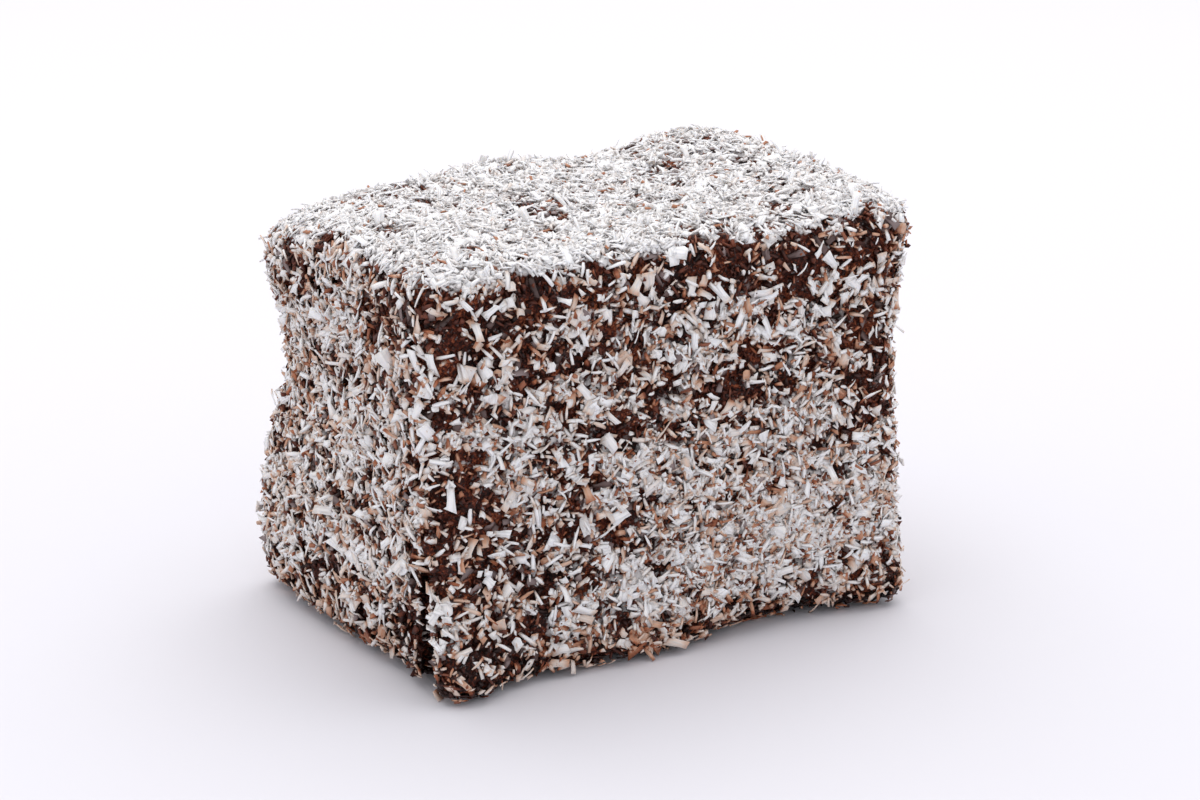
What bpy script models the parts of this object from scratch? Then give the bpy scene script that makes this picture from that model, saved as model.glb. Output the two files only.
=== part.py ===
"""A lamington: one block of chocolate-dipped sponge in a coat of coconut.

The block is a soft cage with a Subdivision Surface. Its outline is a box with rounded edges,
pushed out and in by a few named swellings, and a tapered cleft is cut up its front left edge.
Metres, +Z up. The origin is under the middle of the block, on the surface it stands on.
The broad front faces -Y and the long side runs along X.
"""
import math

import bmesh
import bpy
from mathutils import Vector, noise

MM = 0.001

# Driving dimensions of the coated block
WIDTH = 72.0 * MM
DEPTH = 50.5 * MM
HEIGHT = 55.0 * MM
EDGE_RADIUS = 4.5 * MM
FOOT_RADIUS = 2.2 * MM

# Moves the finished block so that the middle of its box is over the origin
CENTRING = Vector((0.606, 1.561, 0.0)) * MM

# The cage: cuts along each edge, and how much they crowd towards the corners
CAGE_CUTS = 13
CROWDING = 0.22
SMOOTHING_LEVELS = 1

# Small lumps of the hand-cut sponge. Blender's noise starts from the clock unless it has a seed.
LUMP_SIZE = 11.0 * MM
LUMP_HEIGHT = 0.55 * MM
LUMP_SEED = 13

# Swellings: place as a share of half the block from its middle, reach in mm, push in mm
SWELLINGS = {
    "crown of the top": ((0.0, 0.0, 1.0), (30, 20, 14), (0.0, 0.0, 0.8)),
    "hump at the back of the top": ((0.8, 0.9, 1.0), (13, 12, 14), (0.7, 0.6, 1.6)),
    "knob behind the middle": ((-0.02, 0.9, 1.0), (7, 10, 9), (0.0, 0.0, 1.7)),
    "dip beside the hump": ((0.26, 1.0, 1.0), (5, 9, 9), (0.0, 0.0, -1.5)),
    "rise of the right end": ((1.0, -0.1, 1.0), (13, 24, 16), (0.5, 0.0, 2.6)),
    "fallen back left corner": ((-1.0, 0.95, 1.0), (12, 14, 9), (1.0, 0.0, -2.6)),
    "lip over the left side": ((-1.0, 0.8, 0.72), (10, 14, 6), (-1.0, 0.0, 0.0)),
    "waist of the left side": ((-1.0, 0.8, 0.22), (12, 22, 9), (2.3, 0.0, 0.0)),
    "belly of the left side": ((-1.0, 0.6, -0.6), (12, 18, 11), (-2.1, 0.0, 0.0)),
    "left side drawn in at the cleft": ((-1.0, -0.55, -0.95), (9, 5, 11), (1.3, 0.0, 0.5)),
    "lip over the right corner": ((1.0, -0.95, 0.86), (9, 10, 5), (0.9, -0.6, 0.0)),
    "waist of the right side": ((1.0, -0.9, 0.0), (9, 16, 18), (-0.6, 0.0, 0.0)),
    "belly of the front": ((0.25, -1.0, -0.25), (26, 9, 14), (0.0, -0.8, 0.0)),
    "hollow under the front rim": ((0.35, -1.0, 0.62), (24, 8, 7), (0.0, 0.9, 0.0)),
    "foot of the front left corner": ((-0.86, -1.0, -0.92), (5.5, 8, 9), (0.3, -4.6, 0.0)),
    "apron left of the middle": ((-0.1, -1.0, -0.95), (11, 8, 7), (0.0, -1.8, 0.0)),
    "toe tucked in right of the middle": ((0.38, -1.0, -1.0), (9, 8, 5), (0.0, 1.6, 1.2)),
    "heel of the front right corner": ((1.0, -1.0, -1.0), (8, 9, 8), (0.3, -2.0, 0.0)),
    "hollow of the back": ((-0.2, 1.0, 0.0), (22, 9, 16), (0.0, -0.9, 0.0)),
    "belly of the right side": ((1.0, 0.4, -0.4), (9, 14, 14), (0.8, 0.0, 0.0)),
}

# Cleft where the sponge has split, just left of the foot. It is cut by a blade that stands on its
# wide end; the inset is from the block's front left edge to the middle of the blade.
CLEFT_HEIGHT = 27.0 * MM
CLEFT_WIDTH = 3.4 * MM
CLEFT_LENGTH = 11.0 * MM
CLEFT_TIP = 0.12
CLEFT_INSET = Vector((1.0, 2.65, 0.0)) * MM
CLEFT_TURN = math.radians(-34)
CLEFT_LEAN = math.radians(2)
BLADE_SIDES = 10
BLADE_OVERRUN = 1.0 * MM

# Points of the base within this much of the lowest level are laid flat on it
FLAT_LIMIT = 0.05 * MM

COCONUT_WHITE = (0.72, 0.69, 0.67, 1.0)
COCONUT_ROUGHNESS = 0.7


def clear_scene():
    for old in list(bpy.data.objects):
        bpy.data.objects.remove(old)


def collection(name):
    made = bpy.data.collections.new(name)
    bpy.context.scene.collection.children.link(made)
    return made


def new_object(name, mesh_maker, holder):
    mesh = bpy.data.meshes.new(name)
    maker = mesh_maker()
    maker.to_mesh(mesh)
    maker.free()
    made = bpy.data.objects.new(name, mesh)
    holder.objects.link(made)
    return made


def coconut_coat():
    material = bpy.data.materials.new("coconut_coat")
    material.use_nodes = True
    shader = material.node_tree.nodes["Principled BSDF"]
    shader.inputs["Base Color"].default_value = COCONUT_WHITE
    shader.inputs["Roughness"].default_value = COCONUT_ROUGHNESS
    return material


def rounded(point, half, radius):
    """Moves a point on a box's surface to the same box with rounded edges."""
    core = Vector(max(-h + radius, min(h - radius, p)) for p, h in zip(point, half))
    return core + (point - core).normalized() * radius


def swell(point, half):
    """How far the named swellings push a point of the block."""
    push = Vector()
    for place, reach, way in SWELLINGS.values():
        centre = Vector(share * h for share, h in zip(place, half))
        away = Vector((p - c) / (r * MM) for p, c, r in zip(point, centre, reach))
        push += Vector(way) * MM * math.exp(-away.length_squared)
    return push


def block():
    half = Vector((WIDTH, DEPTH, HEIGHT)) / 2
    noise.seed_set(LUMP_SEED)
    made = bmesh.new()
    bmesh.ops.create_cube(made, size=2.0)
    bmesh.ops.subdivide_edges(made, edges=made.edges[:], cuts=CAGE_CUTS, use_grid_fill=True)
    for vert in made.verts:
        crowded = Vector(u * (1 + CROWDING * (1 - u * u)) for u in vert.co)
        flat = Vector(u * h for u, h in zip(crowded, half))
        low = crowded.z < 0
        point = rounded(flat, half, FOOT_RADIUS if low else EDGE_RADIUS)
        stands = crowded.z <= -1.0 and point.z < -half.z + FLAT_LIMIT
        lumps = noise.noise_vector(point / LUMP_SIZE) * LUMP_HEIGHT
        point += swell(point, half) + lumps
        height = point.z + half.z
        vert.co = (point.x, point.y, 0.0 if stands else max(height, 0.0))
    return made


def blade():
    """A tapered blade, unturned, with its middle at the origin: its section is a flat ellipse."""
    made = bmesh.new()
    bmesh.ops.create_cone(
        made, cap_ends=True, segments=BLADE_SIDES, radius1=0.5, radius2=CLEFT_TIP / 2, depth=1.0)
    bmesh.ops.scale(made, verts=made.verts, vec=(CLEFT_WIDTH, CLEFT_LENGTH, CLEFT_HEIGHT))
    return made


def lamington():
    holder = collection("lamington")
    cutters = collection("cutters")
    cake = new_object("lamington", block, holder)
    cake.location = CENTRING
    cake.data.materials.append(coconut_coat())
    soft = cake.modifiers.new("soft sponge", 'SUBSURF')
    soft.levels = SMOOTHING_LEVELS
    soft.render_levels = SMOOTHING_LEVELS
    cake.data.shade_smooth()

    corner = Vector((-WIDTH / 2, -DEPTH / 2, CLEFT_HEIGHT / 2 - BLADE_OVERRUN))
    cutter = new_object("cleft_blade", blade, cutters)
    cutter.location = corner + CLEFT_INSET + CENTRING
    cutter.rotation_euler = (0.0, CLEFT_LEAN, CLEFT_TURN)
    cutter.hide_render = True
    cutter.display_type = 'WIRE'
    cut = cake.modifiers.new("cleft", 'BOOLEAN')
    cut.object = cutter
    cut.operation = 'DIFFERENCE'
    cut.solver = 'EXACT'


clear_scene()
lamington()
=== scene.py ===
"""A lamington: sponge soaked in thin chocolate icing, then rolled in desiccated coconut.

Metres, +Z up, broad front towards -Y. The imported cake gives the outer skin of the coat. The sponge
lies just inside it, and the coconut fills the coat between the two, one mesh for each kind of flake.
"""

import math

import bmesh
import bpy
import numpy as np
from mathutils import Euler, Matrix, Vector, noise


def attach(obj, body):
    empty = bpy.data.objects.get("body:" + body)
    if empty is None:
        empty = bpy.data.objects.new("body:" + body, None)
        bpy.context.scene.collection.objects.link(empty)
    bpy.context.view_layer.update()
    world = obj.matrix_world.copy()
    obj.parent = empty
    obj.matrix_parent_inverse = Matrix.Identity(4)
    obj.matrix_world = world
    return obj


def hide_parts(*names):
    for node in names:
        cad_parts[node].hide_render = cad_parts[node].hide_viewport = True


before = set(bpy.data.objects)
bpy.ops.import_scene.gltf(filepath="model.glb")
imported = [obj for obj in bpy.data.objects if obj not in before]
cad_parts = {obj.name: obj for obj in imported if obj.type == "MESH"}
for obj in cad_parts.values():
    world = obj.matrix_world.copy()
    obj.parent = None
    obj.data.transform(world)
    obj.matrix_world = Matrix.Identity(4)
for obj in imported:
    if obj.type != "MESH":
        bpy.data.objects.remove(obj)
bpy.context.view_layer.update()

# ---------------------------------------------------------------------------------------------
# The soaked sponge. A block of butter sponge, dipped in thin cocoa icing until the outer few
# millimetres are wet through. It keeps its open crumb, with small pits, and it is nearly black
# where the icing has gathered.
# ---------------------------------------------------------------------------------------------
MM = 0.001

COAT = 1.15 * MM
CRUMB_MESH = 0.52 * MM
SPONGE_LUMP = 3.2 * MM
SPONGE_LUMP_RISE = 0.45 * MM
CRUMB_SIZE = 1.0 * MM
CRUMB_RISE = 0.42 * MM
PIT_SPACING = 1.5 * MM
PIT_DEPTH = 0.8 * MM
PIT_WIDTH = 0.42
RESTS_ABOVE = 0.25 * MM
SAME_POINT = 0.01 * MM
# Patches where the icing has gathered, single crumbs, and how far those stand out as bump
ICING_PATCH = 4.0 * MM
ICING_WEIGHT = 0.55
CRUMB_GRAIN = 0.40 * MM
CRUMB_BUMP = 0.22 * MM
SPONGE_STOPS = ((0.60, "#170705"), (0.74, "#37150C"), (0.86, "#612A1A"), (0.98, "#9E5838"))
# Blender's noise starts from the clock unless it has a seed
NOISE_SEED = 5
noise.seed_set(NOISE_SEED)


def linear(hex_colour):
    """An sRGB hex colour as the linear red, green, blue and alpha that a shader takes."""
    parts = [int(hex_colour[i:i + 2], 16) / 255 for i in (1, 3, 5)]
    return [p / 12.92 if p <= 0.04045 else ((p + 0.055) / 1.055) ** 2.4 for p in parts] + [1.0]


def add(tree, kind, settings=None, links=None):
    """Adds a node, with its settings by attribute or by socket and its links by socket."""
    node = tree.nodes.new(kind)
    for name, value in (settings or {}).items():
        if isinstance(name, int) or name in node.inputs:
            node.inputs[name].default_value = value
        else:
            setattr(node, name, value)
    for name, source in (links or {}).items():
        tree.links.new(source, node.inputs[name])
    return node


def colour_stops(ramp, stops):
    """Sets a colour ramp to the given places and hex colours."""
    elements = ramp.color_ramp.elements
    while len(elements) > 1:
        elements.remove(elements[-1])
    for number, (place, colour) in enumerate(stops):
        element = elements[0] if number == 0 else elements.new(place)
        element.position = place
        element.color = linear(colour)


def soaked_sponge_finish():
    """Cocoa-soaked sponge crumb: deep red-brown, granular, moist enough to catch small glints."""
    material = bpy.data.materials.new("cocoa_soaked_sponge")
    material.use_nodes = True
    tree = material.node_tree
    tree.nodes.clear()
    place = add(tree, "ShaderNodeTexCoord").outputs["Object"]
    patches = add(tree, "ShaderNodeTexNoise", {"Scale": 1 / ICING_PATCH, "Detail": 2.0},
                  {"Vector": place})
    crumbs = add(tree, "ShaderNodeTexNoise",
                 {"Scale": 1 / CRUMB_GRAIN, "Detail": 3.0, "Roughness": 0.65}, {"Vector": place})
    mixed = add(tree, "ShaderNodeMath", {"operation": 'MULTIPLY_ADD', 1: ICING_WEIGHT},
                {0: patches.outputs["Fac"], 2: crumbs.outputs["Fac"]})
    colour = add(tree, "ShaderNodeValToRGB", None, {"Fac": mixed.outputs["Value"]})
    colour_stops(colour, SPONGE_STOPS)
    gloss = add(tree, "ShaderNodeMapRange",
                {"From Min": 0.35, "From Max": 0.65, "To Min": 0.42, "To Max": 0.72},
                {"Value": patches.outputs["Fac"]})
    bump = add(tree, "ShaderNodeBump", {"Strength": 1.0, "Distance": CRUMB_BUMP},
               {"Height": crumbs.outputs["Fac"]})
    shader = add(tree, "ShaderNodeBsdfPrincipled", {"IOR": 1.45, "Specular IOR Level": 0.22},
                 {"Base Color": colour.outputs["Color"], "Roughness": gloss.outputs["Result"],
                  "Normal": bump.outputs["Normal"]})
    add(tree, "ShaderNodeOutputMaterial", None, {"Surface": shader.outputs["BSDF"]})
    return material


def placed(name, data):
    """A new object for a mesh, a lamp or a camera, in the scene."""
    made = bpy.data.objects.new(name, data)
    bpy.context.scene.collection.objects.link(made)
    return made


def evaluated_copy(source, name):
    """A new mesh object with the source's modifiers applied."""
    graph = bpy.context.evaluated_depsgraph_get()
    mesh = bpy.data.meshes.new_from_object(source.evaluated_get(graph), depsgraph=graph)
    mesh.name = name
    return placed(name, mesh)


def merged_skin():
    """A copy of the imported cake's skin, with its loose triangles joined up and facing outwards."""
    skin = bmesh.new()
    skin.from_mesh(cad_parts["lamington"].data)
    bmesh.ops.remove_doubles(skin, verts=skin.verts, dist=SAME_POINT)
    bmesh.ops.recalc_face_normals(skin, faces=skin.faces)
    return skin


def object_from(shape, name):
    """A bmesh as an object of its own. The bmesh is used up."""
    mesh = bpy.data.meshes.new(name)
    shape.to_mesh(mesh)
    shape.free()
    return placed(name, mesh)


def crumb_relief(place):
    """How far the sponge's surface rises at a point: lumps, crumbs and the pits between them."""
    rise = SPONGE_LUMP_RISE * noise.noise(place / SPONGE_LUMP)
    rise += CRUMB_RISE * noise.noise(place / CRUMB_SIZE)
    nearest = noise.voronoi(place / PIT_SPACING)[0][0]
    if nearest < PIT_WIDTH:
        rise -= PIT_DEPTH * (1 - nearest / PIT_WIDTH)
    return rise


def soaked_sponge():
    skin = object_from(merged_skin(), "sponge_skin")
    fine = skin.modifiers.new("crumb mesh", 'REMESH')
    fine.mode = 'VOXEL'
    fine.voxel_size = CRUMB_MESH
    sponge = evaluated_copy(skin, "soaked_sponge")
    bpy.data.objects.remove(skin)
    shape = bmesh.new()
    shape.from_mesh(sponge.data)
    bmesh.ops.smooth_vert(shape, verts=shape.verts, factor=0.5, use_axis_x=True, use_axis_y=True,
                          use_axis_z=True)
    bmesh.ops.recalc_face_normals(shape, faces=shape.faces)
    shape.normal_update()
    normals = [vert.normal.copy() for vert in shape.verts]
    for vert, normal in zip(shape.verts, normals):
        vert.co += normal * (crumb_relief(vert.co) - COAT)
        vert.co.z = max(vert.co.z, RESTS_ABOVE)
    shape.to_mesh(sponge.data)
    shape.free()
    sponge.data.materials.clear()
    sponge.data.materials.append(soaked_sponge_finish())
    sponge.data.shade_smooth()
    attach(sponge, "root")
    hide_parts("lamington")


soaked_sponge()

# ---------------------------------------------------------------------------------------------
# Where the coconut lies. The wet block is rolled in a tray of coconut, so the top and the lower
# sides pick up most, and the rims, the cleft and a few patches pick up little. Each patch is its
# place and reach in millimetres, with the share of the coconut that is there.
# ---------------------------------------------------------------------------------------------
PATCHES = {
    "thin under the left rim": ((-27.5, -23.1, 50.4), (8, 5, 2.4), 0.41),
    "thin under the front rim": ((-10.0, -23.0, 50.4), (12, 5, 2.3), 0.41),
    "bare under the middle rim": ((9.5, -22.8, 51.0), (8, 5, 2.8), 0.32),
    "thin below the rim": ((18.6, -23.2, 48.2), (4, 5, 4.0), 0.34),
    "thin under the right rim": ((28.5, -23.0, 50.8), (8, 5, 3.0), 0.34),
    "thin streak at the left": ((-22.3, -23.5, 48.9), (2.4, 5, 5.0), 0.34),
    "thin above the middle": ((5.8, -23.2, 45.4), (3.2, 5, 2.8), 0.38),
    "bare in the middle": ((6.5, -23.6, 34.8), (3.2, 5, 3.4), 0.25),
    "bare beside the middle": ((11.0, -23.5, 36.1), (2.8, 5, 2.8), 0.38),
    "thin below the middle": ((7.9, -24.0, 29.3), (2.4, 5, 2.6), 0.7),
    "thin at the right": ((23.2, -23.9, 33.6), (3.0, 5, 3.4), 0.42),
    "brown down the right edge": ((32.0, -23.4, 36.3), (3.2, 5, 9.0), 0.3),
    "bare above the cleft": ((-32.2, -23.6, 27.0), (2.6, 5, 3.6), 0.20),
    "thin right of the cleft": ((-26.9, -23.8, 23.9), (2.8, 5, 3.0), 0.28),
    "thin low at the left": ((-29.2, -24.3, 17.3), (2.6, 5, 3.6), 0.3),
    "crease over the cleft": ((-34.0, -23.3, 20.0), (1.4, 5, 8.0), 0.14),
    "mouth of the cleft": ((-34.8, -18.5, 9.0), (3.0, 3.0, 12.0), 0.05),
    "small gap low in the front": ((-7.9, -24.3, 20.0), (2.2, 5, 2.0), 0.5),
    "small gap beside it": ((-1.3, -24.4, 20.9), (2.2, 5, 2.0), 0.5),
    "grey patch on the top left": ((-24.6, 8.8, 55.1), (3.6, 4.0, 5), 0.1),
    "grey patch on the top": ((-9.4, -2.4, 55.7), (4.0, 3.6, 5), 0.1),
    "grey patch at the back left": ((-16.8, 20.4, 55.0), (3.6, 3.0, 5), 0.1),
    "grey patch right of the middle": ((16.8, 7.5, 55.8), (3.6, 3.4, 5), 0.1),
    "grey patch near the front": ((22.1, -14.0, 55.6), (4.0, 3.0, 5), 0.1),
    "brown patch at the back right": ((26.3, 13.9, 56.8), (5.0, 5.0, 5), 0.22),
    "dark back left corner": ((-35.2, 12.4, 49.6), (5, 5.0, 3.6), 0.12),
    "thin on the left side": ((-35.4, -4.6, 22.0), (5, 4.4, 3.4), 0.32),
    "thin low on the left side": ((-36.7, 9.0, 4.6), (5, 4.4, 3.4), 0.34),
    "brown on the left side": ((-35.3, -11.2, 41.2), (5, 4.0, 4.4), 0.41),
    "thin over the middle rim": ((6.2, -22.0, 54.2), (6.5, 4.5, 2.6), 0.22),
    "thin over the right rim": ((14.0, -21.5, 55.2), (4.5, 4.0, 2.6), 0.35),
    "thin at the upper left": ((-25.0, -23.2, 43.5), (9.0, 5, 6.5), 0.52),
    "thin at the upper middle": ((-3.0, -23.3, 41.0), (6.0, 5, 6.0), 0.88),
    "thick at the middle of the left edge": ((-27.0, -23.8, 33.0), (7.0, 5, 5.0), 2.0),
    "thin at the lower left": ((-25.0, -24.5, 10.0), (6.5, 5, 7.0), 0.62),
    "brown toe of the front left corner": ((-31.0, -28.0, 4.0), (5.0, 5.0, 6.5), 0.55),
    "thin under the left side's rim": ((-36.0, -10.0, 48.0), (5, 13, 4.0), 0.50),
    "icing showing under the rim": ((2.8, -23.2, 51.3), (2.8, 5, 1.9), 0.02),
    "thick right of the middle": ((20.0, -23.9, 24.5), (8, 5, 8.0), 1.9),
    "thick in the lower middle": ((0.0, -24.2, 26.0), (8, 5, 6.0), 2.05),
    "thick at the upper right": ((16.0, -23.4, 41.5), (7, 5, 3.5), 1.4),
    "thick at the lower right edge": ((20.0, -24.2, 8.5), (9, 5, 5.5), 2.6),
    "thick along the foot of the apron": ((2.0, -24.6, 6.5), (8, 5, 4.5), 2.2),
    "thick low in the front": ((9.3, -24.5, 15.5), (7, 5, 5.0), 2.9),
    "thick at the apron": ((1.8, -24.3, 13.4), (6, 5, 4.0), 2.4),
    "thick low at the right": ((24.5, -24.2, 16.5), (8, 5, 5.5), 3.2),
    "thick left of the middle": ((-18.3, -23.7, 29.6), (5, 5, 5.0), 1.7),
    "thick above the middle": ((0.6, -23.4, 41.6), (4, 5, 3.6), 1.8),
    "thick below the rim": ((9.6, -23.1, 46.8), (4, 5, 2.6), 1.8),
    "thick at the foot": ((-9.2, -24.3, 8.0), (7, 5, 4.5), 1.8),
    "thick low at the left": ((-19.9, -23.8, 13.3), (5, 5, 4.0), 1.3),
}
PATCH_MIDDLES = np.array([middle for middle, reach, share in PATCHES.values()]) * MM
PATCH_REACHES = np.array([reach for middle, reach, share in PATCHES.values()]) * MM
PATCH_SHARES = np.array([share for middle, reach, share in PATCHES.values()])
# A place belongs to the top, the left side or the base where its normal points this far that way
FACING = 0.6
TOP_SHARE = 2.8
# The thick coat of the top ends raggedly, where the block's edge turns down by this much
RIM_FROM = 0.45
RIM_BLEND = 0.50
RIM_RAGGED = 0.45
# The foot of the block picks up less, and what there is is drawn browner and darker towards the bottom
FOOT_HEIGHT = 7.0 * MM
FOOT_SHARE = 0.36
FOOT_BROWNING = 0.26
LEFT_SHARE = 1.08
BASE_SHARE = 0.25
UNEVEN_SIZE = 7.0 * MM
UNEVEN_SHARE = 0.7
UNEVEN_LEAST = 0.2
# Flakes cling to one another in tufts, which leaves small dark gaps between the tufts
TUFT_SIZE = 2.2 * MM
TUFT_SHARE = 1.5
TUFT_LEAST = 0.1
TOP_TUFTS = 1.1
LEAST_SHARE = 0.02
MOST_SHARE = 4.5
# Places tried for each flake, of which the share keeps as many as are wanted
TRIES = 9.0
# The unevenness is turned off the block's own directions, so that none of it lines up with a face,
# and the borders of the patches wander by a millimetre or two
UNEVEN_TURN = np.array(Euler((0.6, 0.4, 0.9)).to_matrix())
WANDER_SIZE = 4.5 * MM
WANDER_REACH = 3.6 * MM


def skin_triangles():
    """Corners, smooth normals and areas of the triangles of the coat's outer skin."""
    skin = merged_skin()
    skin.normal_update()
    bmesh.ops.triangulate(skin, faces=skin.faces)
    corners = np.array([[tuple(vert.co) for vert in face.verts] for face in skin.faces])
    smooth = np.array([[tuple(vert.normal) for vert in face.verts] for face in skin.faces])
    area = np.array([face.calc_area() for face in skin.faces])
    skin.free()
    return corners, smooth, area


SKIN_CORNERS, SKIN_NORMALS, SKIN_AREAS = skin_triangles()


def share_at(places, normals):
    """The share of the coconut's usual thickness at each place on the skin."""
    share = np.ones(len(places))
    turned = [Vector(place) for place in places @ UNEVEN_TURN]
    wander = np.array([noise.noise_vector(place / WANDER_SIZE) for place in turned]) * WANDER_REACH
    for middle, reach, patch in zip(PATCH_MIDDLES, PATCH_REACHES, PATCH_SHARES):
        away = (((places + wander - middle) / reach) ** 2).sum(1)
        share *= 1 + (patch - 1) * np.exp(-away)
    uneven = np.array([noise.noise(place / UNEVEN_SIZE) for place in turned])
    share *= np.maximum(1 + UNEVEN_SHARE * uneven, UNEVEN_LEAST)
    tufts = np.array([noise.noise(place / TUFT_SIZE) for place in turned])
    tufted = TUFT_SHARE * tufts * np.where(normals[:, 2] > FACING, TOP_TUFTS, 1.0)
    share *= np.maximum(1 + tufted, TUFT_LEAST)
    ragged = normals[:, 2] + RIM_RAGGED * tufts + RIM_RAGGED * uneven
    top = np.clip((ragged - RIM_FROM) / RIM_BLEND, 0.0, 1.0)
    share *= 1 + (TOP_SHARE - 1) * top
    share *= np.where(normals[:, 0] < -FACING, LEFT_SHARE, 1.0)
    foot = FOOT_SHARE + (1 - FOOT_SHARE) * np.clip(places[:, 2] / FOOT_HEIGHT, 0.0, 1.0)
    share *= np.where(normals[:, 2] < -FACING, BASE_SHARE, foot)
    return np.clip(share, LEAST_SHARE, MOST_SHARE)


def scattered_places(count, picker, evenness=1.0):
    """Random places on the skin with their normals, as many in each part as the coconut is thick.

    An evenness under 1 spreads them more evenly than the coconut, and under 0 the other way round.
    """
    tried = int(count * TRIES)
    faces = picker.choice(len(SKIN_AREAS), size=tried, p=SKIN_AREAS / SKIN_AREAS.sum())
    edge, along = picker.random((2, tried))
    root = np.sqrt(edge)
    weights = np.stack([1 - root, root * (1 - along), root * along], 1)[:, :, None]
    places = (SKIN_CORNERS[faces] * weights).sum(1)
    normals = (SKIN_NORMALS[faces] * weights).sum(1)
    normals /= np.linalg.norm(normals, axis=1, keepdims=True)
    share = share_at(places, normals) ** evenness
    kept = np.flatnonzero(picker.random(tried) < share / share.max())[:count]
    return places[kept], normals[kept]


# ---------------------------------------------------------------------------------------------
# Coconut dust. Powder from the bottom of the coconut tray, finer than a grain of rice, which
# clings to the wet icing wherever the coat is thick. It shows as pale, grainy gaps between flakes.
# ---------------------------------------------------------------------------------------------
DUST_FROM = 0.9
DUST_FULL = 2.7
DUST_RISE = 0.70 * MM
DUST_COLOUR = "#EFEDEC"
DUST_GRAIN = 0.55 * MM
# Thickness and grain together, from where the dust first shows to where it hides the crumb
DUST_SHOWS = 0.62
DUST_HIDES = 1.0
DUST_COVERS = 0.92


def coconut_dust():
    """Raises the sponge where the coat is thick, and mixes pale grains into its colour there."""
    mesh = bpy.data.objects["soaked_sponge"].data
    count = len(mesh.vertices)
    places = np.empty(count * 3, dtype=np.float32)
    normals = np.empty(count * 3, dtype=np.float32)
    mesh.vertices.foreach_get("co", places)
    mesh.vertices.foreach_get("normal", normals)
    places = places.reshape(-1, 3)
    normals = normals.reshape(-1, 3)
    out = places + normals * COAT
    share = share_at(out.astype(float), normals.astype(float))
    thick = np.clip((share - DUST_FROM) / (DUST_FULL - DUST_FROM), 0.0, 1.0)
    dust = mesh.attributes.new("coconut_dust", 'FLOAT', 'POINT')
    dust.data.foreach_set("value", thick.astype(np.float32))
    places += normals * (DUST_RISE * thick[:, None]).astype(np.float32)
    places[:, 2] = np.maximum(places[:, 2], RESTS_ABOVE)
    mesh.vertices.foreach_set("co", places.ravel())
    mesh.update()

    tree = bpy.data.materials["cocoa_soaked_sponge"].node_tree
    shader = next(node for node in tree.nodes if node.type == 'BSDF_PRINCIPLED')
    crumb = shader.inputs["Base Color"].links[0].from_socket
    place = add(tree, "ShaderNodeTexCoord").outputs["Object"]
    grains = add(tree, "ShaderNodeTexNoise", {"Scale": 1 / DUST_GRAIN, "Detail": 2.0},
                 {"Vector": place})
    lying = add(tree, "ShaderNodeAttribute", {"attribute_name": "coconut_dust"})
    caught = add(tree, "ShaderNodeMath", {"operation": 'ADD'},
                 {0: lying.outputs["Fac"], 1: grains.outputs["Fac"]})
    edge = add(tree, "ShaderNodeMapRange",
               {"From Min": DUST_SHOWS, "From Max": DUST_HIDES, "To Min": 0.0, "To Max": DUST_COVERS},
               {"Value": caught.outputs["Value"]})
    mixed = add(tree, "ShaderNodeMix", {"data_type": 'RGBA'},
                {0: edge.outputs["Result"], 6: crumb})
    mixed.inputs[7].default_value = linear(DUST_COLOUR)
    tree.links.new(mixed.outputs[2], shader.inputs["Base Color"])


coconut_dust()

# ---------------------------------------------------------------------------------------------
# Long dry shreds. Strands of coconut flesh from a fine grater, 1.5 to 3 mm long and half a
# millimetre wide, dried until they curl. They stick to the icing by one side and stand a little
# off it, and they are the whitest of the coconut.
# ---------------------------------------------------------------------------------------------
SHRED_COUNT = 4400
# A flake's own map: half the height that one flake takes up, how far the flakes are spread so that
# no two look alike, and the height of it all, which is divided out to stay within 0 to 1
FIBRES = 0.25
TONES_APART = 7.0
MAP_HEIGHT = 8.0
MOTTLES = 9.0
MOTTLE_STAIN = 0.26
GLOW_DEPTH = 0.35 * MM
DRY_STOPS = ((0.14, "#FCFBFB"), (0.27, "#F5F0EC"), (0.38, "#E8D6C9"), (0.50, "#D3A78B"),
             (0.63, "#A8623F"), (0.80, "#5E2716"), (1.0, "#2A100A"))


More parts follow.
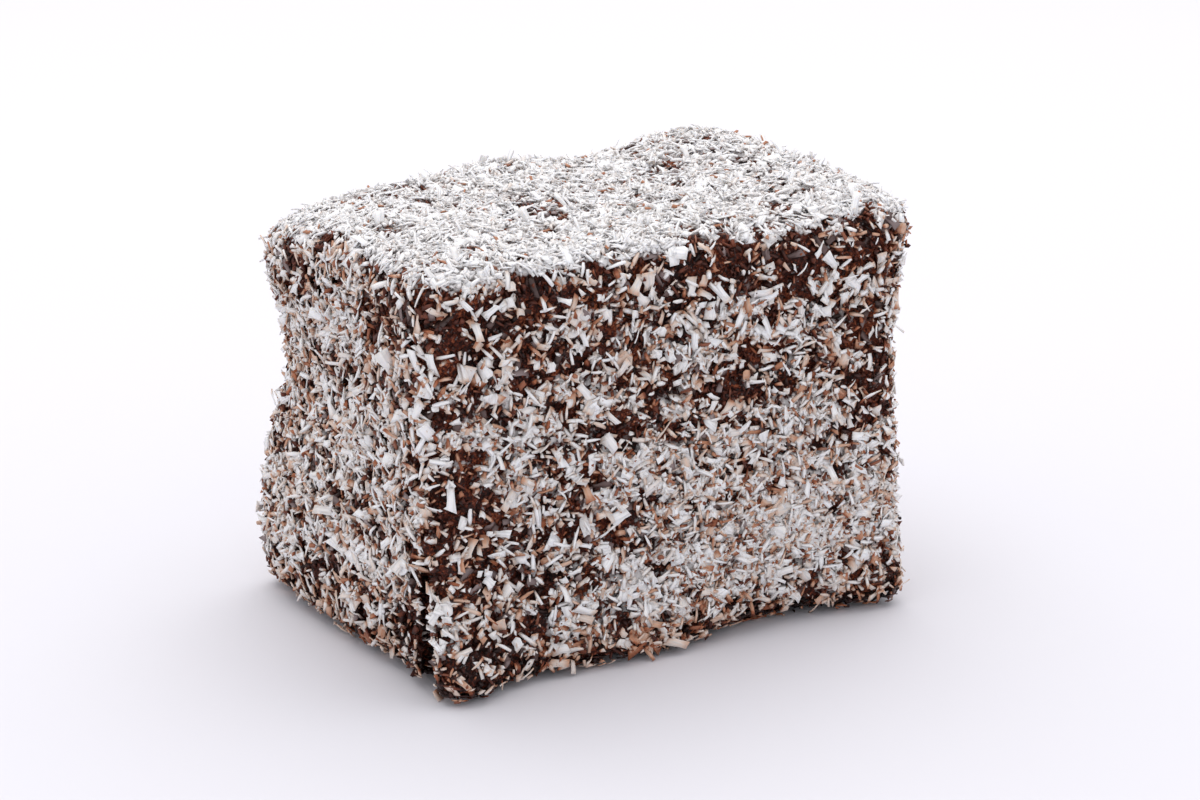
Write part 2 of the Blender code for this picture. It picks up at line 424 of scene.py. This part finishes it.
def flake_finish(name, stops, roughness, glow):
    """Dried coconut or crumb: matt, fibrous, a little see-through, stained where icing wets it.

    All of it is carried by each flake's own map: across is how far the icing has soaked in, together
    with painted light (the paler top, and the warm light bounced off the chocolate deep in the coat) and
    the browning towards the foot, and up is the place across the flake, so that the fibre streaks run
    along it.
    The streaks are partly the fibre grain and partly painted shade of its ridges. The map stays within 0
    to 1, and is drawn out to MAP_HEIGHT again before the pattern is read from it.
    """
    material = bpy.data.materials.new(name)
    material.use_nodes = True
    tree = material.node_tree
    tree.nodes.clear()
    own_map = add(tree, "ShaderNodeUVMap", {"uv_map": "OFBake"})
    split = add(tree, "ShaderNodeSeparateXYZ", None, {"Vector": own_map.outputs["UV"]})
    drawn_out = add(tree, "ShaderNodeVectorMath",
                    {"operation": 'MULTIPLY_ADD', 1: (1.0, MAP_HEIGHT, 1.0), 2: (0.0, -FIBRES, 0.0)},
                    {0: own_map.outputs["UV"]})
    mottle = add(tree, "ShaderNodeTexNoise", {"Scale": MOTTLES, "Detail": 2.0},
                 {"Vector": drawn_out.outputs["Vector"]})
    # The map's across carries painted light as well as the stain: the paler top and the warm bounce
    # light deep in the coat
    soaked = add(tree, "ShaderNodeMath", {"operation": 'MULTIPLY_ADD', 1: MOTTLE_STAIN},
                 {0: mottle.outputs["Fac"], 2: split.outputs["X"]})
    colour = add(tree, "ShaderNodeValToRGB", None, {"Fac": soaked.outputs["Value"]})
    colour_stops(colour, stops)
    # Painted shade: darker streaks along each flake, partly the fibre grain and partly the shade its
    # ridges would cast
    fibre_grain_and_shade = add(tree, "ShaderNodeMapRange",
                 {"From Min": 0.32, "From Max": 0.55, "To Min": 0.74, "To Max": 1.0},
                 {"Value": mottle.outputs["Fac"]})
    shaded = add(tree, "ShaderNodeVectorMath", {"operation": 'SCALE'},
                 {0: colour.outputs["Color"], "Scale": fibre_grain_and_shade.outputs["Result"]})
    shader = add(tree, "ShaderNodeBsdfPrincipled",
                 {"Roughness": roughness, "IOR": 1.45, "Subsurface Weight": glow,
                  "Subsurface Radius": (1.0, 0.85, 0.7), "Subsurface Scale": GLOW_DEPTH},
                 {"Base Color": shaded.outputs["Vector"]})
    add(tree, "ShaderNodeOutputMaterial", None, {"Surface": shader.outputs["BSDF"]})
    return material


def strand(shaper, length, width, curl, twist, sides, cuts, thick, taper):
    """One strand lying along X: a thin prism, cut across, then tapered, twisted and curled."""
    made = bmesh.new()
    bmesh.ops.create_cone(made, cap_ends=True, segments=sides, radius1=0.5, radius2=0.5, depth=1.0)
    for number in range(1, cuts):
        level = number / cuts - 0.5
        bmesh.ops.bisect_plane(made, geom=made.verts[:] + made.edges[:] + made.faces[:],
                               plane_co=(0.0, 0.0, level), plane_no=(0.0, 0.0, 1.0))
    for vert in made.verts:
        along = vert.co.z
        narrow = 1 - taper * (2 * abs(along)) ** 2
        across = vert.co.x * width * narrow * shaper.uniform(0.8, 1.2)
        deep = vert.co.y * thick * narrow * shaper.uniform(0.8, 1.2)
        turn = twist * along
        side = across * math.cos(turn) - deep * math.sin(turn)
        rise = across * math.sin(turn) + deep * math.cos(turn)
        rise += curl * (0.25 - along * along) * length
        vert.co = (along * length, side, rise)
    return made


def template(made):
    """A flake's points and outward triangles as arrays.

    Solidify gives a rim its faces in no fixed order, so each triangle is turned to start at its
    lowest corner and the triangles are sorted. The same flake then comes out every time.
    """
    bmesh.ops.triangulate(made, faces=made.faces)
    bmesh.ops.recalc_face_normals(made, faces=made.faces)
    points = np.array([tuple(vert.co) for vert in made.verts])
    faces = [[vert.index for vert in face.verts] for face in made.faces]
    faces = sorted(face[face.index(min(face)):] + face[:face.index(min(face))] for face in faces)
    made.free()
    return points, np.array(faces)


# Stain at a flake's wetter end, and what is left of the stain on the top and the left side. On the top
# that share is painted light: the flakes there are drawn paler, standing in for the brightly lit top.
END_STAIN = 0.38
TOP_STAIN_PAINTED_LIGHTER = 0.22
LEFT_STAIN = 0.90
TOP_SIZE = 0.92
LEFT_SIZE = 1.15
# Flakes lie flatter on the top. Those that stand tip up by an angle between these two, in radians,
# and are lifted by this share of their height.
TOP_LEAN = 0.7
STANDING_TIP = (0.4, 0.95)
STANDING_LIFT = 0.55
ROLL_PER_LEAN = 1.2
NEARLY_LEVEL = 0.9
# How sharply the stain grows with depth in the coat, from flake to flake and towards the wet end.
# Deep in the coat the growth is also painted light: the warm light bounced off the chocolate, drawn as
# colour.
WET_AND_BOUNCE_POWER = 1.3
TONE_POWER = 2.8
END_POWER = 1.5
DEEPEST_WET_AND_BOUNCE = 1.2
MOST_SOAKED = 0.9


def flake_axes(normals, spin, tip, roll):
    """Each flake's own directions, along, across and up, once it is spun, tipped and rolled."""
    guide = np.where(abs(normals[:, 2:]) > NEARLY_LEVEL, [[1.0, 0.0, 0.0]], [[0.0, 0.0, 1.0]])
    first = np.cross(guide, normals)
    first /= np.linalg.norm(first, axis=1, keepdims=True)
    second = np.cross(normals, first)
    flat = first * np.cos(spin)[:, None] + second * np.sin(spin)[:, None]
    side = np.cross(normals, flat)
    along = flat * np.cos(tip)[:, None] + normals * np.sin(tip)[:, None]
    upward = np.cross(along, side)
    wide = side * np.cos(roll)[:, None] + upward * np.sin(roll)[:, None]
    return along, wide, np.cross(along, wide)


def flake_mesh(name, points, faces, staining_and_painted_light, finish):
    """One mesh of all the flakes of a kind, with their staining and painted light as the mesh's own map.
    """
    mesh = bpy.data.meshes.new(name)
    mesh.vertices.add(len(points))
    mesh.vertices.foreach_set("co", points.astype(np.float32).ravel())
    mesh.loops.add(faces.size)
    mesh.loops.foreach_set("vertex_index", faces.astype(np.int32).ravel())
    mesh.polygons.add(len(faces))
    mesh.polygons.foreach_set("loop_start", np.arange(0, faces.size, 3, dtype=np.int32))
    own_map = mesh.uv_layers.new(name="OFBake")
    own_map.data.foreach_set("uv", staining_and_painted_light[faces.ravel()].astype(np.float32).ravel())
    mesh.update(calc_edges=True)
    mesh.validate()
    mesh.materials.append(finish)
    return mesh


def laid_flakes(name, templates, count, seed, lean, stand_share, depth, sizes, stain_and_bounce, finish,
                evenness=1.0):
    """Lays copies of a few flakes over the skin as one mesh.

    lean is how far a flake tips out of the skin, and stand_share is how many stand well out of it.
    depth is how deep they lie in the coat. stain is how far the icing has soaked in, at the top of the
    coat and at the sponge, where it is also painted light, the warm light bounced off the chocolate, and
    how much more it may be from flake to flake.
    """
    picker = np.random.default_rng(seed)
    places, normals = scattered_places(count, picker, evenness)
    count = len(places)
    on_top = normals[:, 2] > FACING
    on_left = normals[:, 0] < -FACING
    under = normals[:, 2] < -FACING
    kind = picker.integers(0, len(templates), count)
    level = picker.random(count)
    tip = picker.normal(0.0, lean, count) * np.where(on_top, TOP_LEAN, 1.0)
    stands = (picker.random(count) < stand_share) & ~under
    tip = np.where(stands, picker.uniform(*STANDING_TIP, count), tip)
    tip = np.where(under, 0.0, tip)
    roll = picker.normal(0.0, lean * ROLL_PER_LEAN, count) * ~under
    spin = picker.random(count) * 2 * math.pi
    along, wide, upward = flake_axes(normals, spin, tip, roll)
    size = picker.uniform(*sizes, count) * np.where(on_top, TOP_SIZE, 1.0)
    size *= np.where(on_left, LEFT_SIZE, 1.0)
    tone = picker.random(count)
    sunk = depth[0] + (depth[1] - depth[0]) * level

    all_points = []
    all_faces = []
    all_staining_and_painted_light = []
    start = 0
    for number, (points, faces) in enumerate(templates):
        mine = np.flatnonzero(kind == number)
        longest = abs(points[:, 0]).max()
        scaled = points[None] * size[mine, None, None]
        lift = np.where(stands[mine], longest * size[mine] * np.sin(tip[mine]), 0.0)
        middle = places[mine] - normals[mine] * (sunk[mine] - STANDING_LIFT * lift)[:, None]
        spread = (middle[:, None]
                  + scaled[..., :1] * along[mine, None]
                  + scaled[..., 1:2] * wide[mine, None]
                  + scaled[..., 2:] * upward[mine, None])
        spread[..., 2] = np.maximum(spread[..., 2], 0.0)
        height = ((spread - places[mine, None]) * normals[mine, None]).sum(-1)
        # Painted light as well as stain: flakes deeper in the coat are drawn browner, for the icing they
        # touch and for the warm light bounced off it
        wet_and_bounce = np.clip(-height / COAT, 0.0, DEEPEST_WET_AND_BOUNCE)
        end = np.clip(points[None, :, 0] / longest, 0.0, 1.0) ** 2
        stain_and_painted_light = stain_and_bounce[0] + (stain_and_bounce[1] - stain_and_bounce[0]) * wet_and_bounce ** WET_AND_BOUNCE_POWER
        stain_and_painted_light = stain_and_painted_light + stain_and_bounce[2] * tone[mine, None] ** TONE_POWER
        stain_and_painted_light = stain_and_painted_light + END_STAIN * end * picker.random((len(mine), 1)) ** END_POWER
        # Browner and darker towards the bottom of the block
        stain_and_painted_light = stain_and_painted_light + FOOT_BROWNING * np.clip(1 - places[mine, 2:] / FOOT_HEIGHT, 0.0, 1.0)
        # Painted light: the flakes on the top are drawn paler, for the brightly lit top
        stain_and_painted_light = stain_and_painted_light * np.where(on_top[mine, None], TOP_STAIN_PAINTED_LIGHTER, 1.0)
        stain_and_painted_light = stain_and_painted_light * np.where(on_left[mine, None], LEFT_STAIN, 1.0)
        stain_and_painted_light = np.clip(stain_and_painted_light, 0.0, MOST_SOAKED)
        across = FIBRES * (1 + points[None, :, 1] / abs(points[:, 1]).max())
        across = (across + TONES_APART * tone[mine, None]) / MAP_HEIGHT
        all_points.append(spread.reshape(-1, 3))
        all_staining_and_painted_light.append(np.stack([stain_and_painted_light, across], -1).reshape(-1, 2))
        shifts = start + np.arange(len(mine))[:, None, None] * len(points)
        all_faces.append((faces[None] + shifts).reshape(-1, 3))
        start += len(mine) * len(points)

    mesh = flake_mesh(name, np.concatenate(all_points), np.concatenate(all_faces),
                      np.concatenate(all_staining_and_painted_light), finish)
    made = placed(name, mesh)
    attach(made, "root")


def long_shreds():
    shaper = np.random.default_rng(11)
    shreds = [
        template(strand(shaper, length * MM, width * MM, curl, twist, sides=4, cuts=3,
                        thick=0.22 * MM, taper=0.28))
        for length, width, curl, twist in (
            (2.7, 0.55, 0.22, 0.5), (2.3, 0.60, -0.12, 0.8), (2.0, 0.52, 0.34, -0.6),
            (2.6, 0.46, 0.14, 1.2), (2.2, 0.70, 0.24, 0.3), (1.8, 0.55, -0.20, -0.9))
    ]
    finish = flake_finish("dried_coconut_shred", DRY_STOPS, roughness=0.62, glow=0.25)
    laid_flakes("coconut_long_shreds", shreds, SHRED_COUNT, seed=21, lean=0.26, stand_share=0.10,
                depth=(0.0, 0.6 * MM), sizes=(0.75, 1.10), stain_and_bounce=(0.0, 0.38, 0.42), finish=finish)


long_shreds()

# ---------------------------------------------------------------------------------------------
# Short slivers. Broken shreds of dried flesh, 0.8 to 2 mm long, that fill between the long ones
# and lie closer to the icing.
# ---------------------------------------------------------------------------------------------
SLIVER_COUNT = 9800


def short_slivers():
    shaper = np.random.default_rng(12)
    slivers = [
        template(strand(shaper, length * MM, width * MM, curl, twist, sides=4, cuts=2,
                        thick=0.26 * MM, taper=0.22))
        for length, width, curl, twist in (
            (1.6, 0.52, 0.20, 0.3), (1.3, 0.58, -0.16, 0.5), (1.0, 0.50, 0.20, -0.4),
            (1.8, 0.44, 0.16, 0.8), (1.2, 0.72, 0.10, 0.2), (0.9, 0.42, 0.10, 0.4))
    ]
    finish = flake_finish("dried_coconut_sliver", DRY_STOPS, roughness=0.66, glow=0.2)
    laid_flakes("coconut_short_slivers", slivers, SLIVER_COUNT, seed=22, lean=0.36, stand_share=0.13,
                depth=(0.1 * MM, 0.85 * MM), sizes=(0.75, 1.2), stain_and_bounce=(0.0, 0.45, 0.55), finish=finish)


short_slivers()

# ---------------------------------------------------------------------------------------------
# Broad chips. Flat flakes of flesh, 1 to 3.5 mm across with ragged ends, curled as they dried.
# They lie flat like shingles, and they make most of the white.
# ---------------------------------------------------------------------------------------------
CHIP_COUNT = 7000


def chip(shaper, length, width, thick, curl, fan):
    """One flat chip: a narrow grid with ragged ends, curled, then given its thickness."""
    made = bmesh.new()
    bmesh.ops.create_grid(made, x_segments=3, y_segments=1, size=0.5)
    for vert in made.verts:
        along = vert.co.x
        spread = 1 + fan * along * 2
        ragged = shaper.uniform(-0.22, 0.16) if abs(along) > 0.4 else shaper.uniform(-0.10, 0.10)
        across = vert.co.y * width * spread * shaper.uniform(0.55, 1.15)
        rise = curl * (0.25 - along * along) * length + shaper.uniform(-0.12, 0.12) * width
        vert.co = ((along + ragged) * length, across, rise)
    bmesh.ops.solidify(made, geom=made.faces[:], thickness=thick)
    return made


def broad_chips():
    shaper = np.random.default_rng(13)
    chips = [
        template(chip(shaper, length * MM, width * MM, 0.16 * MM, curl, fan))
        for length, width, curl, fan in (
            (2.2, 1.2, 0.14, 0.25), (1.7, 1.1, -0.10, 0.10), (1.5, 1.3, 0.16, 0.30),
            (2.4, 1.0, 0.12, 0.15), (1.1, 1.0, 0.06, 0.00), (2.1, 1.6, 0.16, 0.25),
            (1.6, 0.9, -0.12, 0.20), (2.7, 1.3, 0.18, -0.20), (1.3, 0.9, 0.10, -0.15),
            (1.2, 1.2, 0.12, 0.35), (0.9, 0.8, 0.10, 0.10))
    ]
    finish = flake_finish("dried_coconut_chip", DRY_STOPS, roughness=0.60, glow=0.25)
    laid_flakes("coconut_broad_chips", chips, CHIP_COUNT, seed=23, lean=0.30, stand_share=0.07,
                depth=(0.05 * MM, 0.75 * MM), sizes=(0.7, 1.15), stain_and_bounce=(0.0, 0.34, 0.36), finish=finish)


broad_chips()

# ---------------------------------------------------------------------------------------------
# Stained slivers. Coconut at the bottom of the coat, soaked through by the cocoa icing until it
# is tan to dark brown.
# ---------------------------------------------------------------------------------------------
STAINED_COUNT = 7000
STAINED_STOPS = ((0.12, "#BC917B"), (0.28, "#94593F"), (0.46, "#673220"), (0.72, "#3A180E"),
                 (1.0, "#180804"))


def stained_slivers():
    shaper = np.random.default_rng(14)
    slivers = [
        template(strand(shaper, length * MM, width * MM, curl, twist, sides=3, cuts=2,
                        thick=0.28 * MM, taper=0.25))
        for length, width, curl, twist in (
            (1.7, 0.55, 0.15, 0.5), (1.3, 0.65, -0.10, 0.8), (1.1, 0.50, 0.20, -0.6),
            (2.0, 0.46, 0.10, 1.1))
    ]
    finish = flake_finish("cocoa_stained_coconut", STAINED_STOPS, roughness=0.5, glow=0.0)
    laid_flakes("cocoa_stained_slivers", slivers, STAINED_COUNT, seed=24, lean=0.28, stand_share=0.06,
                depth=(0.4 * MM, 1.1 * MM), sizes=(0.6, 1.0), stain_and_bounce=(0.05, 0.60, 0.45), finish=finish,
                evenness=0.5)


stained_slivers()

# ---------------------------------------------------------------------------------------------
# Soaked flakes. Thin flakes wet through by the syrup, so they turn half clear and look grey to
# violet against the chocolate, with a slight shine.
# ---------------------------------------------------------------------------------------------
SOAKED_COUNT = 1200
SOAKED_STOPS = ((0.05, "#B3A5A2"), (0.30, "#8F7E7C"), (0.55, "#66514D"), (1.0, "#38241F"))


def soaked_flakes():
    shaper = np.random.default_rng(15)
    flakes = [
        template(chip(shaper, length * MM, width * MM, 0.14 * MM, curl, fan))
        for length, width, curl, fan in (
            (1.9, 0.9, 0.08, 0.20), (1.5, 1.0, 0.10, 0.00), (2.2, 0.7, 0.06, 0.30))
    ]
    finish = flake_finish("syrup_soaked_coconut", SOAKED_STOPS, roughness=0.36, glow=0.0)
    laid_flakes("soaked_flakes", flakes, SOAKED_COUNT, seed=25, lean=0.24, stand_share=0.0,
                depth=(0.4 * MM, 0.9 * MM), sizes=(0.8, 1.15), stain_and_bounce=(0.0, 0.6, 0.5), finish=finish,
                evenness=0.4)


soaked_flakes()

# ---------------------------------------------------------------------------------------------
# Coconut grit. Broken ends of the coconut, 0.5 to 1.5 mm long, caught between the flakes and on
# them. Each is a plain splinter, drawn a little coarser than the finest of the real grit.
# ---------------------------------------------------------------------------------------------
GRIT_COUNT = 24000


def grain(shaper, size):
    """One grain of grit: a small three-sided splinter knocked out of true."""
    made = bmesh.new()
    bmesh.ops.create_cone(made, cap_ends=True, segments=3, radius1=size / 2, radius2=size / 3,
                          depth=size)
    for vert in made.verts:
        long, wide, deep = vert.co.z, vert.co.x, vert.co.y
        vert.co = Vector(part * shaper.uniform(0.5, 1.5) for part in (1.5 * long, wide, deep))
    return made


def coconut_grit():
    shaper = np.random.default_rng(16)
    grains = [template(grain(shaper, size * MM)) for size in (0.28, 0.36, 0.46, 0.60, 0.33, 0.50)]
    finish = flake_finish("coconut_grit", DRY_STOPS, roughness=0.7, glow=0.0)
    laid_flakes("coconut_grit", grains, GRIT_COUNT, seed=26, lean=0.8, stand_share=0.0,
                depth=(-0.05 * MM, 0.85 * MM), sizes=(0.7, 1.4), stain_and_bounce=(0.02, 0.60, 0.72), finish=finish,
                evenness=1.2)


coconut_grit()

# ---------------------------------------------------------------------------------------------
# Cocoa crumbs. Loose grains of the soaked sponge, 0.4 to 1.8 mm long, rubbed off as the cake was
# rolled and caught in the coat. They lie thickest where the coconut is thin.
# ---------------------------------------------------------------------------------------------
CRUMB_COUNT = 13000
CRUMB_STOPS = ((0.10, "#8C4A2E"), (0.26, "#5E2A19"), (0.42, "#36150C"), (0.80, "#150704"))


def cocoa_crumbs():
    shaper = np.random.default_rng(17)
    grains = [template(grain(shaper, size * MM)) for size in (0.36, 0.48, 0.62, 0.76)]
    finish = flake_finish("cocoa_soaked_crumb", CRUMB_STOPS, roughness=0.55, glow=0.0)
    laid_flakes("cocoa_crumbs", grains, CRUMB_COUNT, seed=27, lean=0.8, stand_share=0.0,
                depth=(0.6 * MM, 1.15 * MM), sizes=(0.6, 1.3), stain_and_bounce=(0.0, 0.25, 0.4), finish=finish,
                evenness=-0.6)


cocoa_crumbs()

# ---------------------------------------------------------------------------------------------
# Flecks of skin. Bits of the coconut's thin brown skin, 1 to 2 mm long, left on by the peeler.
# They are dry and lie on the outside of the coat.
# ---------------------------------------------------------------------------------------------
FLECK_COUNT = 420
SKIN_STOPS = ((0.05, "#C08A68"), (0.30, "#A5664A"), (0.60, "#7E4730"), (1.0, "#4B2518"))


def skin_flecks():
    shaper = np.random.default_rng(18)
    flecks = [
        template(chip(shaper, length * MM, width * MM, 0.16 * MM, curl, fan))
        for length, width, curl, fan in (
            (1.1, 0.6, 0.10, 0.1), (0.8, 0.7, 0.05, 0.2), (1.4, 0.45, 0.1, 0.0))
    ]
    finish = flake_finish("coconut_brown_skin", SKIN_STOPS, roughness=0.55, glow=0.0)
    laid_flakes("coconut_skin_flecks", flecks, FLECK_COUNT, seed=28, lean=0.35, stand_share=0.1,
                depth=(-0.1 * MM, 0.3 * MM), sizes=(0.8, 1.2), stain_and_bounce=(0.0, 0.5, 0.5), finish=finish)


skin_flecks()

# ---------------------------------------------------------------------------------------------
# The table, the light and the camera. A white paper table in a bright white room, with one large
# soft light above and a little behind, as for a plain catalogue picture.
# ---------------------------------------------------------------------------------------------
FLOOR_HALF = 4.0
FLOOR_COLOUR = "#E1E0E5"
FLOOR_ROUGHNESS = 0.9
ROOM_COLOUR = "#FAFAFF"
ROOM_STRENGTH = 0.88
LIGHT_PLACE = Vector((0.10, 0.22, 0.84))
LIGHT_AIM = Vector((0.0, 0.0, 0.02))
LIGHT_SIZE = 1.1
LIGHT_WATTS = 5.6
LIGHT_COLOUR = "#FFFDFB"
LENS_MM = 90.0
SENSOR_MM = 36.0
CAMERA_TURN = math.radians(-29.5)
CAMERA_RISE = math.radians(18.0)
CAMERA_DISTANCE = 402.5 * MM
# The middle of the uneven block, a little off the middle of its box, and the aim beside it
LOOKS_AT = Vector((0.606, 1.561, 27.0)) * MM
AIM_RIGHT = 2.35 * MM
AIM_UP = 0.27 * MM


def white_floor():
    shape = bmesh.new()
    bmesh.ops.create_grid(shape, x_segments=1, y_segments=1, size=FLOOR_HALF)
    floor = object_from(shape, "floor")
    material = bpy.data.materials.new("white_paper_sweep")
    material.use_nodes = True
    shader = material.node_tree.nodes["Principled BSDF"]
    shader.inputs["Base Color"].default_value = linear(FLOOR_COLOUR)
    shader.inputs["Roughness"].default_value = FLOOR_ROUGHNESS
    floor.data.materials.append(material)


def top_light():
    lamp = bpy.data.lights.new("top_light", 'AREA')
    lamp.size = LIGHT_SIZE
    lamp.energy = LIGHT_WATTS
    lamp.color = linear(LIGHT_COLOUR)[:3]
    made = placed("top_light", lamp)
    made.location = LIGHT_PLACE
    made.rotation_euler = (LIGHT_AIM - LIGHT_PLACE).to_track_quat('-Z', 'Y').to_euler()


def room_light():
    world = bpy.data.worlds.new("white_room")
    world.use_nodes = True
    background = world.node_tree.nodes["Background"]
    background.inputs["Color"].default_value = linear(ROOM_COLOUR)
    background.inputs["Strength"].default_value = ROOM_STRENGTH
    bpy.context.scene.world = world


def camera():
    lens = bpy.data.cameras.new("camera")
    lens.lens = LENS_MM
    lens.sensor_width = SENSOR_MM
    lens.clip_start = 0.01
    lens.clip_end = 50.0
    back = Vector((math.sin(CAMERA_TURN) * math.cos(CAMERA_RISE),
                   -math.cos(CAMERA_TURN) * math.cos(CAMERA_RISE), math.sin(CAMERA_RISE)))
    right = Vector((math.cos(CAMERA_TURN), math.sin(CAMERA_TURN), 0.0))
    up = back.cross(right)
    aim = LOOKS_AT + right * AIM_RIGHT + up * AIM_UP
    made = placed("camera", lens)
    made.location = aim + back * CAMERA_DISTANCE
    made.rotation_euler = back.to_track_quat('Z', 'Y').to_euler()
    bpy.context.scene.camera = made


white_floor()
top_light()
room_light()
camera()
bpy.context.scene.view_settings.view_transform = 'Standard'
